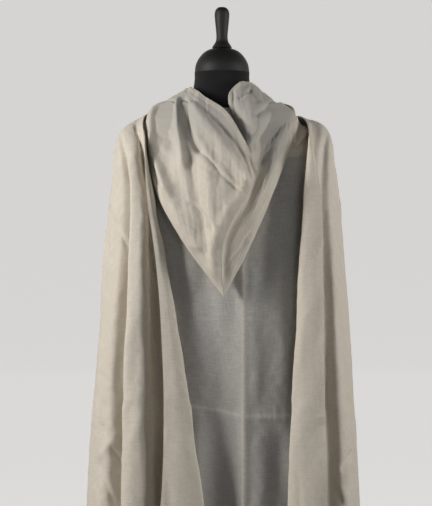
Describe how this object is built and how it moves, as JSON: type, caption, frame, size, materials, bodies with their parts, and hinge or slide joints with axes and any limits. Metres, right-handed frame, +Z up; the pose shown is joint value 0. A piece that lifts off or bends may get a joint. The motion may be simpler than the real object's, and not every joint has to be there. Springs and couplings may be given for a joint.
{
  "type": "hooded cloak on a dress form",
  "caption": "Long hooded cloak in thin cream wool, worn on a limbless dress form, with the hood down and both fronts thrown back.",
  "frame": {"origin": "centre of the stand's underside, on the floor", "axes": "+Z up, +Y out of the back that the hood hangs on, +X towards the wearer's left"},
  "size_m": [0.611, 0.4057, 1.652],
  "materials": {
    "cream_wool": "matte",
    "black_jersey": "matte",
    "black_lacquered_wood": "satin",
    "black_painted_steel": "satin"
  },
  "bodies": {
    "root": {"back_yoke": "cream_wool", "back_upper_left": "cream_wool", "back_upper_right": "cream_wool", "back_lower_left": "cream_wool", "back_lower_right": "cream_wool", "front_upper_left": "cream_wool", "front_upper_right": "cream_wool", "front_lower_left": "cream_wool", "front_lower_right": "cream_wool", "hood_left": "cream_wool", "hood_right": "cream_wool", "dress_form": "black_jersey", "neck_cap": "black_lacquered_wood", "finial": "black_lacquered_wood", "stand_pole": "black_painted_steel", "stand_base": "black_painted_steel"}
  },
  "joints": []
}
